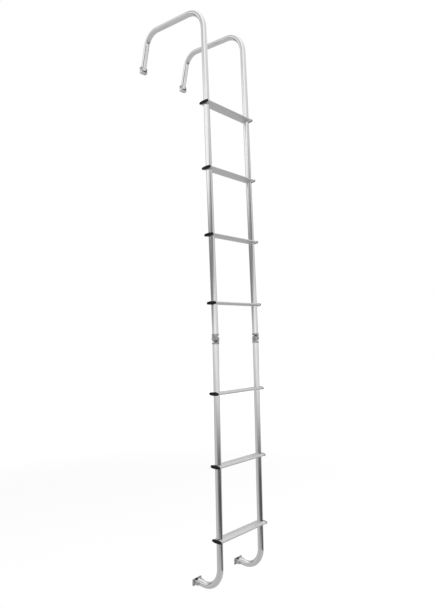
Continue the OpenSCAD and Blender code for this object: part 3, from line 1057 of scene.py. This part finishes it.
def makeBracket(side, level, spec):
    name = side + "_" + level
    plate = solidsMesh(name + "_plate", [plateSolid(level, spec)], Matrix.Identity(4))
    bracket = addObject(name + "_bracket", plate)
    aside, past = spec[level]["screwAside"], spec["drillPast"]
    through = (-spec["pivotToFace"] - past, spec["plate"] - spec["pivotToFace"] + past)
    drill(bracket, (-aside, aside), spec["holeRadius"], through, Matrix.Identity(4))
    ears = solidsMesh(name + "_ears", [earSolid(sign, level, spec) for sign in (-1, 1)], Matrix.Identity(4))
    turn = Matrix.Rotation(math.pi / 2, 4, "X") if level == "lower" else Matrix.Identity(4)
    joinTo(bracket, ears, Matrix.Translation(jointPlace[name + "_foot_pivot"]) @ turn)
    shadeBy(bracket.data, spec["sharpAbove"])
    finishPiece(bracket, name + "_swivel", footMetal, "casting", name + "_foot")


# Tube plugs: a head outside the tube's end and a shank inside it, bored for the foot's bolt
plugSpec = {
    "shank": 10.9 * mm, "shankFrom": 10.0 * mm, "tubeEnd": 8.0 * mm,
    "headRadius": 12.2 * mm, "head": 2.0 * mm, "headRound": 0.8 * mm, "dish": 0.5 * mm,
    "dishRings": ((0.55, 1.0), (0.72, 0.8), (0.80, 0.2)),    # (of the head's radius, of the dish's depth)
    "sharpAbove": 40,
}


def makePlug(side, level, spec):
    pivot = jointPlace[side + "_" + level + "_foot_pivot"]
    if level == "lower":
        heading = -tubeSpec["lowerBend"][1]
    else:
        heading = tubeSpec["lean"] + tubeSpec["hookBend"][1] + tubeSpec["tipBend"][1] + math.pi
    radius, top, low = spec["headRadius"], -spec["tubeEnd"], -spec["tubeEnd"] - spec["head"]
    rings = [ringAt(radius * share, low + spec["dish"] * deep) for share, deep in spec["dishRings"]]
    rings += [ringAt(radius - inset, low + depth) for inset, depth in quarter(spec["headRound"])]
    rings += [ringAt(radius, top), ringAt(spec["shank"], top), ringAt(spec["shank"], spec["shankFrom"])]
    mesh = solidsMesh(side + "_" + level + "_tube_plug", [loft(rings)],
                      Matrix.Translation(pivot) @ Matrix.Rotation(-heading, 4, "X"))
    plug = addObject(side + "_" + level + "_tube_plug", mesh)
    across = Matrix.Translation(pivot) @ Matrix.Rotation(math.pi / 2, 4, "Y")
    drill(plug, (0,), tubeSpec["boreRadius"], (-2 * spec["shank"], 2 * spec["shank"]), across)
    shadeBy(plug.data, spec["sharpAbove"])
    finishPiece(plug, sectionOf(level), plugPlastic, "cap", side + "_" + level + "_plug")


for side in sideNames:
    for level in ("lower", "upper"):
        makeBracket(side, level, footSpec)
        makePlug(side, level, plugSpec)
print("feet and tube plugs made")


# Bolts: hexagon head, shank, self-locking nut and the thread that shows past it
hingeBolt = {
    "radius": 4.0 * mm, "headAt": 11.5 * mm, "nutAt": 11.2 * mm, "head": 5.3 * mm, "nut": 6.3 * mm,
    "past": 2.0 * mm, "acrossFlats": 13.0 * mm, "pitch": 1.25 * mm,
}
pivotBolt = {
    "radius": 3.0 * mm, "headAt": 16.0 * mm, "nutAt": 16.0 * mm, "head": 4.0 * mm, "nut": 5.0 * mm,
    "past": 1.5 * mm, "acrossFlats": 10.0 * mm, "pitch": 1.0 * mm,
}

boltForm = {
    "rim": 0.475,                  # of the width across flats: outside it the corners are turned off
    "turnedOff": math.radians(30),
    "plainEdge": 0.98,             # how far a face that isn't turned off is drawn in
    "plainEdgeHeight": 0.1 * mm,
    "shankSink": 0.3 * mm,         # into the head and the nut
    "hexShare": 0.70,              # of the nut's height; a nylon collar is the rest
    "collar": 0.44,                # of the width across flats
    "collarSink": 0.4 * mm,
    "rolledLip": ((1.0, 0.8 * mm), (0.96, 0.3 * mm), (0.86, 0.0)),    # (of the collar, below the end)
    "lipInside": ((1.12, 0.0), (1.02, 0.5 * mm)),                     # (of the bolt, below the end)
    "threadSink": 0.9 * mm,
    "threadDepth": 0.54,           # of the pitch
    "ringsPerPitch": 10,
    "threadCut": 0.9,              # of the thread's depth, at its root
    "crestCut": 0.4,               # of the thread's depth
    "tipFrom": 0.6,                # of the thread's depth, below the bolt's end
    "sharpAbove": 30,
}


def hexRadius(acrossFlats):
    sixth = math.pi / 3
    return lambda angle: acrossFlats / 2 / math.cos(angle % sixth - sixth / 2)


def hexSolid(acrossFlats, low, high, chamferLow, chamferHigh):
    # hexagonal prism whose corners are turned off where a face is chamfered
    hexagon, rim, edge = hexRadius(acrossFlats), boltForm["rim"] * acrossFlats, boltForm["plainEdgeHeight"]
    plain = lambda angle: hexagon(angle) * boltForm["plainEdge"]
    fall = lambda angle: (hexagon(angle) - rim) * math.tan(boltForm["turnedOff"])
    return loft([
        ringAt(rim if chamferLow else plain, low),
        ringAt(hexagon, (lambda angle: low + fall(angle)) if chamferLow else low + edge),
        ringAt(hexagon, (lambda angle: high - fall(angle)) if chamferHigh else high - edge),
        ringAt(rim if chamferHigh else plain, high)])


def threadSolid(radius, pitch, low, high):
    # a bolt's end: the groove climbs one pitch a turn and runs out at a chamfer
    depth = boltForm["threadDepth"] * pitch
    count = max(2, round((high - low) / pitch * boltForm["ringsPerPitch"]))
    rings = []
    for k in range(count + 1):
        z = low + (high - low) * k / count
        tip = max(0.0, z - (high - boltForm["tipFrom"] * depth))

        def groove(angle, z=z, tip=tip):
            phase = (z / pitch - angle / (2 * math.pi)) % 1.0
            root = radius - depth * (1 - abs(2 * phase - 1)) * boltForm["threadCut"]
            return min(root, radius - depth * boltForm["crestCut"] - tip)
        rings.append(ringAt(groove, z))
    return loft(rings)


def boltSolids(spec):
    radius, seat, nutSeat = spec["radius"], -spec["headAt"], spec["nutAt"]
    flats, nutEnd = spec["acrossFlats"], spec["nutAt"] + spec["nut"]
    hexTop = nutSeat + boltForm["hexShare"] * spec["nut"]
    collar, sink = boltForm["collar"] * flats, boltForm["shankSink"]
    collarRings = [ringAt(collar, hexTop - boltForm["collarSink"])]
    collarRings += [ringAt(collar * share, nutEnd - below) for share, below in boltForm["rolledLip"]]
    collarRings += [ringAt(radius * share, nutEnd - below) for share, below in boltForm["lipInside"]]
    return [
        hexSolid(flats, seat - spec["head"], seat, True, False),
        loft([ringAt(radius, seat - sink), ringAt(radius, nutSeat + sink)]),
        hexSolid(flats, nutSeat, hexTop, True, True),
        loft(collarRings),
        threadSolid(radius, spec["pitch"], nutEnd - boltForm["threadSink"], nutEnd + spec["past"]),
    ]


def makeBolt(name, place, side, body, node, spec):
    turn = Matrix.Rotation(math.pi / 2 if side == "left" else -math.pi / 2, 4, "Y")
    mesh = solidsMesh(name, boltSolids(spec), Matrix.Translation(place) @ turn)
    shadeBy(mesh, boltForm["sharpAbove"])
    finishPiece(addObject(name, mesh), body, boltSteel, "bolt", node)


for side in sideNames:
    hingeAxis = Vector((railX[side], hingePlace.y, hingePlace.z))
    makeBolt(side + "_hinge_bolt_and_nut", hingeAxis, side,
             "lower_section", side + "_hinge_bolt", hingeBolt)
    for level in ("lower", "upper"):
        name = side + "_" + level
        makeBolt(name + "_pivot_bolt", jointPlace[name + "_foot_pivot"], side,
                 name + "_swivel", name + "_pin", pivotBolt)
print("bolts made")


# Fasteners that repeat: foot screws, step screws and hinge rivets, one mesh for each body
fastenerSpec = {
    "screwHead": {
        "radius": 3.9 * mm, "rise": 2.4 * mm, "socket": 2.0 * mm,
        "sink": 0.05 * mm, "shank": 2.3 * mm, "deep": 3.3 * mm},
    "stepScrewHead": {
        "radius": 3.0 * mm, "rise": 1.3 * mm, "socket": 1.5 * mm,
        "sink": 0.5 * mm, "shank": 1.6 * mm, "deep": 1.5 * mm},
    "rivetHead": {
        "radius": 4.2 * mm, "rise": 1.5 * mm, "socket": 1.2 * mm,
        "sink": 0.9 * mm, "shank": 2.0 * mm, "deep": 1.6 * mm},
    "rivetFromEnd": 14.0 * mm,
}
headForm = {
    "sides": 36,
    "dome": [math.radians(degrees) for degrees in (18, 36, 54, 68)],
    "skirt": 0.15,                 # upright edge, of the rise
    "flat": 0.30,                  # of the radius, in the middle of the dome
    "socketDraw": 1.3,             # times the stated width of the socket
    "socketFloor": 0.35,           # of the rise
    "sharpAbove": 35,
}


def headShape(name, spec, socketSides):
    # domed head about +Z with a socket in its middle, seated a little below the surface
    radius, rise, socket = spec["radius"], spec["rise"], spec["socket"]
    sink, shank, deep, sides = spec["sink"], spec["shank"], spec["deep"], headForm["sides"]
    skirt, flat, draw = headForm["skirt"], headForm["flat"], headForm["socketDraw"]
    rings = [ringAt(shank, -deep, sides), ringAt(shank, -sink, sides)]
    rings += [ringAt(radius, -sink, sides), ringAt(radius, skirt * rise, sides)]
    for angle in headForm["dome"]:
        inward = radius * (flat + (1 - flat) * math.cos(angle))
        rings.append(ringAt(inward, rise * (skirt + (1 - skirt) * math.sin(angle)), sides))
    part = 2 * math.pi / socketSides
    mouth = lambda angle: socket / 2 * math.cos(part / 2) / math.cos(angle % part - part / 2) * draw
    rings += [ringAt(mouth, rise, sides), ringAt(mouth, rise * headForm["socketFloor"], sides)]
    mesh = solidsMesh(name, [loft(rings)], Matrix.Identity(4))
    shadeBy(mesh, headForm["sharpAbove"])
    return addObject(name, mesh)


def fastenerTree():
    tree, given = addTree("seatedFasteners", [("Head", "Object"), ("Seed", "Int")])
    facing = addNode(tree, "GeometryNodeInputNamedAttribute", {"Name": "outward"}, data_type="FLOAT_VECTOR")
    turned = addNode(tree, "FunctionNodeAlignRotationToVector", {
        "Vector": facing.outputs["Attribute"]}, axis="Z")
    spin = addNode(tree, "FunctionNodeRandomValue", {"Seed": given["Seed"]}, data_type="FLOAT")
    spin.inputs[3].default_value = 2 * math.pi
    about = addNode(tree, "ShaderNodeCombineXYZ", {"Z": spin.outputs[1]})
    twist = addNode(tree, "FunctionNodeEulerToRotation", {"Euler": about.outputs[0]})
    rotation = addNode(tree, "FunctionNodeRotateRotation", {
        "Rotation": turned.outputs["Rotation"], "Rotate By": twist.outputs["Rotation"]},
        rotation_space="LOCAL")
    head = addNode(tree, "GeometryNodeObjectInfo", {"Object": given["Head"]})
    seated = addNode(tree, "GeometryNodeInstanceOnPoints", {
        "Points": given["Geometry"], "Instance": head.outputs["Geometry"],
        "Rotation": rotation.outputs["Rotation"]})
    endTree(tree, given, seated.outputs["Instances"])
    return tree


def seatFasteners(name, tree, head, seats, body, material, slotName):
    # seats are (place on the surface, direction out of it)
    points = meshFrom("seats", [place for place, facing in seats], [])
    outward = points.attributes.new("outward", "FLOAT_VECTOR", "POINT")
    outward.data.foreach_set("vector", [part for place, facing in seats for part in facing])
    piece = grow(addObject(name, points), tree, {"Head": head, "Seed": len(seats), "Material": material})
    shadeBy(piece.data, headForm["sharpAbove"])
    finishPiece(piece, body, material, slotName)


seatedFasteners = fastenerTree()
screwHead = headShape("screwHead", fastenerSpec["screwHead"], 6)
stepScrewHead = headShape("stepScrewHead", fastenerSpec["stepScrewHead"], 4)
rivetHead = headShape("rivetHead", fastenerSpec["rivetHead"], 12)
towardsVehicle = Vector((0, 1, 0))
offTheSeat = {"lower": -towardsVehicle, "upper": Vector((0, 0, 1))}     # out of the wall, out of the roof

for side in sideNames:
    for level, facing in offTheSeat.items():
        name = side + "_" + level
        seat = jointPlace[name + "_foot_pivot"] - facing * (footSpec["pivotToFace"] - footSpec["plate"])
        aside = Vector((footSpec[level]["screwAside"], 0, 0))
        seatFasteners(name + "_foot_screws", seatedFasteners, screwHead,
                      [(seat + aside * s, facing) for s in (-1, 1)], name + "_swivel", screwSteel, "bolt")

for level, sign in (("lower", -1), ("upper", 1)):
    lean = 0.0 if level == "lower" else tubeSpec["lean"]
    up, out = along(lean), along(lean + math.pi / 2)
    fromHinge = tubeSpec["fromHinge"] + fastenerSpec["rivetFromEnd"]
    rivetSeats = [(Vector((railX[side], hingePlace.y, hingePlace.z)) + up * sign * fromHinge
                   + out * tubeSpec["radius"], out) for side in sideNames]
    seatFasteners(level + "_hinge_rivets", seatedFasteners, rivetHead, rivetSeats,
                  sectionOf(level), footMetal, "casting")
    screwSeats = []
    for index in range(stepCount):
        place, _, stepLevel = stepPlace(index, stepSpec)
        if stepLevel == level:
            backEdge = place + out * stepSpec["depth"] / 2
            screwSeats += [(backEdge + Vector((s * railGap / 2, 0, 0)), out) for s in (-1, 1)]
    seatFasteners(level + "_step_screws", seatedFasteners, stepScrewHead, screwSeats,
                  sectionOf(level), screwSteel, "bolt")
for shape in (screwHead, stepScrewHead, rivetHead):
    bpy.data.objects.remove(shape)
print("fasteners made")


# Studio: white to the camera, and in reflections a grey room with a bright ceiling and two dark places
room = {
    "right": (0.677, -0.736, 0.0),     # as seen from the camera
    "back": (-0.736, -0.677, 0.0),     # from the ladder to the camera
    "diffuseLevel": 0.62,
    "leftWall": 0.62, "backWall": 0.56, "rightWall": 0.80, "ahead": 0.56, "aheadHigh": 1.10,
    "ceiling": 1.15, "overhead": 0.62, "ground": 0.56, "gapShade": 0.79, "cornerShade": 0.89,
    # where one level runs into the next, as the direction's own part to the right, back or up
    "leftEdge": (-0.55, -0.35), "rightEdge": (0.10, 0.35),
    "aheadEdge": (-0.55, -0.15), "aheadHighEdge": (0.42, 0.58),
    "ceilingEdge": (-0.26, 0.06), "ceilingSide": (0.0, 0.8),
    "overheadEdge": (0.40, 0.52), "overheadSide": (-0.50, -0.30),
    "groundEdge": (-0.40, -0.34), "groundSide": (0.45, 0.90),
    "gapSide": (0.52, 1.0), "gapBack": (-0.75, -0.45),
    "cornerTop": (-0.27, -0.10), "cornerSide": (-0.95, 0.35), "cornerBack": (-0.45, -0.12),
    # how far the ceiling's and the ground's edge fall towards the right, and the gap rises
    "ceilingFall": 0.12, "groundFall": 0.10, "gapRise": 0.10,
    # the gap's middle, its dark core to each side of it, and its reach below and above
    "gapHeight": 0.215, "gapCore": 0.04, "gapBelow": 0.15, "gapAbove": 0.18,
}


def makeWorld(spec):
    world = bpy.data.worlds.new("studio")
    ladderScene.world = world
    world.use_nodes = True
    tree = world.node_tree
    tree.nodes.clear()
    view = tree.nodes.new("ShaderNodeTexCoord").outputs["Generated"]

    def towards(direction):
        node = addNode(tree, "ShaderNodeVectorMath", {0: view, 1: direction}, operation="DOT_PRODUCT")
        return node.outputs["Value"]

    def calc(operation, *values):
        return treeMath(tree, operation, *values)

    def risesOver(value, edge):
        return stretch(tree, value, *edge)

    def fallsOver(value, edge):
        return stretch(tree, value, *edge, 1.0, 0.0)

    def mixed(share, first, second):
        return addNode(tree, "ShaderNodeMix", {"Factor": share, "A": first, "B": second}).outputs["Result"]

    def shaded(level, mask, depth):
        return calc("MULTIPLY", level, calc("MULTIPLY_ADD", mask, -depth, 1.0))

    right, back, up = towards(spec["right"]), towards(spec["back"]), towards((0, 0, 1))
    # walls: grey on the left, behind the camera and low ahead, lighter on the right and high ahead
    level = mixed(risesOver(right, spec["leftEdge"]), spec["leftWall"], spec["backWall"])
    level = mixed(risesOver(right, spec["rightEdge"]), level, spec["rightWall"])
    behind = risesOver(back, spec["aheadEdge"])
    ahead = mixed(risesOver(up, spec["aheadHighEdge"]), spec["ahead"], spec["aheadHigh"])
    level = mixed(behind, ahead, level)
    # bright from eye level up on the left and behind the camera, and grey again high up on the far left
    raised = calc("MULTIPLY_ADD", right, spec["ceilingFall"], up)
    lit = calc("MULTIPLY", risesOver(raised, spec["ceilingEdge"]), fallsOver(right, spec["ceilingSide"]))
    level = mixed(calc("MULTIPLY", lit, behind), level, spec["ceiling"])
    above = calc("MULTIPLY", risesOver(up, spec["overheadEdge"]), fallsOver(right, spec["overheadSide"]))
    level = mixed(calc("MULTIPLY", above, behind), level, spec["overhead"])
    raised = calc("MULTIPLY_ADD", risesOver(right, spec["groundSide"]), spec["groundFall"], up)
    ground = fallsOver(raised, spec["groundEdge"])
    level = mixed(calc("MULTIPLY", ground, behind), level, spec["ground"])
    # dark gap: a slanted band that rises to the right and fades there
    slant = calc("SUBTRACT", calc("MULTIPLY_ADD", right, -spec["gapRise"], up), spec["gapHeight"])
    core = spec["gapCore"]
    rising = risesOver(slant, (-spec["gapBelow"], -core))
    falling = fallsOver(slant, (core, spec["gapAbove"]))
    kept = calc("MULTIPLY", fallsOver(right, spec["gapSide"]), risesOver(back, spec["gapBack"]))
    gap = calc("MULTIPLY", calc("MULTIPLY", rising, falling), kept)
    # dark low corner behind the camera and on the right
    low = calc("MULTIPLY", fallsOver(up, spec["cornerTop"]), calc("SUBTRACT", 1.0, ground))
    corner = calc("MULTIPLY", low, risesOver(right, spec["cornerSide"]))
    corner = calc("MULTIPLY", corner, risesOver(back, spec["cornerBack"]))
    roomLevel = shaded(shaded(level, gap, spec["gapShade"]), corner, spec["cornerShade"])

    path = tree.nodes.new("ShaderNodeLightPath").outputs
    mirrored = calc("MAXIMUM", path["Is Glossy Ray"], path["Is Transmission Ray"])
    level = addNode(tree, "ShaderNodeMix", {"Factor": mirrored, "A": spec["diffuseLevel"], "B": roomLevel})
    shown = addNode(tree, "ShaderNodeMix", {
        "Factor": path["Is Camera Ray"], "A": level.outputs["Result"], "B": 1.0})
    backdrop = addNode(tree, "ShaderNodeBackground", {
        "Color": (1, 1, 1, 1), "Strength": shown.outputs["Result"]})
    sink = tree.nodes.new("ShaderNodeOutputWorld")
    tree.links.new(backdrop.outputs["Background"], sink.inputs["Surface"])


makeWorld(room)

floorSpec = {
    "half": 14.0, "below": 0.28, "colour": 0.86, "lift": 0.66, "glow": 1.12,
    "fadeFrom": 2.5, "fadeTo": 7.0,
}


def makeFloor(spec):
    z = cadBounds[0].z - spec["below"]
    half, grey = spec["half"], spec["colour"]
    corners = [(-half, -half, z), (half, -half, z), (half, half, z), (-half, half, z)]
    floor = addObject("floor", meshFrom("floor", corners, [(0, 1, 2, 3)]))
    material = bpy.data.materials.new("paleFloor")
    material.use_nodes = True
    tree = material.node_tree
    tree.nodes.clear()
    matte = addNode(tree, "ShaderNodeBsdfDiffuse", {"Color": (grey, grey, grey, 1)})
    glow = addNode(tree, "ShaderNodeEmission", {"Strength": spec["glow"]})
    # the floor keeps the shadow near the ladder and runs out into the white backdrop
    where = tree.nodes.new("ShaderNodeTexCoord").outputs["Object"]
    flat = addNode(tree, "ShaderNodeVectorMath", {0: where, 1: (1, 1, 0)}, operation="MULTIPLY").outputs[0]
    away = addNode(tree, "ShaderNodeVectorMath", {0: flat}, operation="LENGTH").outputs["Value"]
    path = tree.nodes.new("ShaderNodeLightPath").outputs
    fade = stretch(tree, away, spec["fadeFrom"], spec["fadeTo"], spec["lift"], 1.0)
    share = times(tree, path["Is Camera Ray"], fade)
    mixed = addNode(tree, "ShaderNodeMixShader", {
        "Fac": share, 1: matte.outputs["BSDF"], 2: glow.outputs["Emission"]})
    sink = tree.nodes.new("ShaderNodeOutputMaterial")
    tree.links.new(mixed.outputs["Shader"], sink.inputs["Surface"])
    floor.data.materials.append(material)
    floor.visible_glossy = False


makeFloor(floorSpec)

lampSpecs = [
    {"name": "key_softbox", "place": (-2.2, -3.2, 4.2), "aim": (0.1, 0.0, 1.0), "size": 3.0, "power": 130},
    {"name": "fill_softbox", "place": (3.0, -2.4, 3.0), "aim": (0.1, 0.0, 1.0), "size": 3.0, "power": 55},
]


def makeLamp(spec):
    data = bpy.data.lights.new(spec["name"], "AREA")
    data.size = spec["size"]
    data.energy = spec["power"]
    lamp = bpy.data.objects.new(spec["name"], data)
    lamp.location = spec["place"]
    lamp.rotation_euler = (Vector(spec["aim"]) - Vector(spec["place"])).to_track_quat("-Z", "Y").to_euler()
    lamp.visible_glossy = False
    ladderScene.collection.objects.link(lamp)


for spec in lampSpecs:
    makeLamp(spec)
ladderScene.view_settings.view_transform = "Standard"
print("studio made")
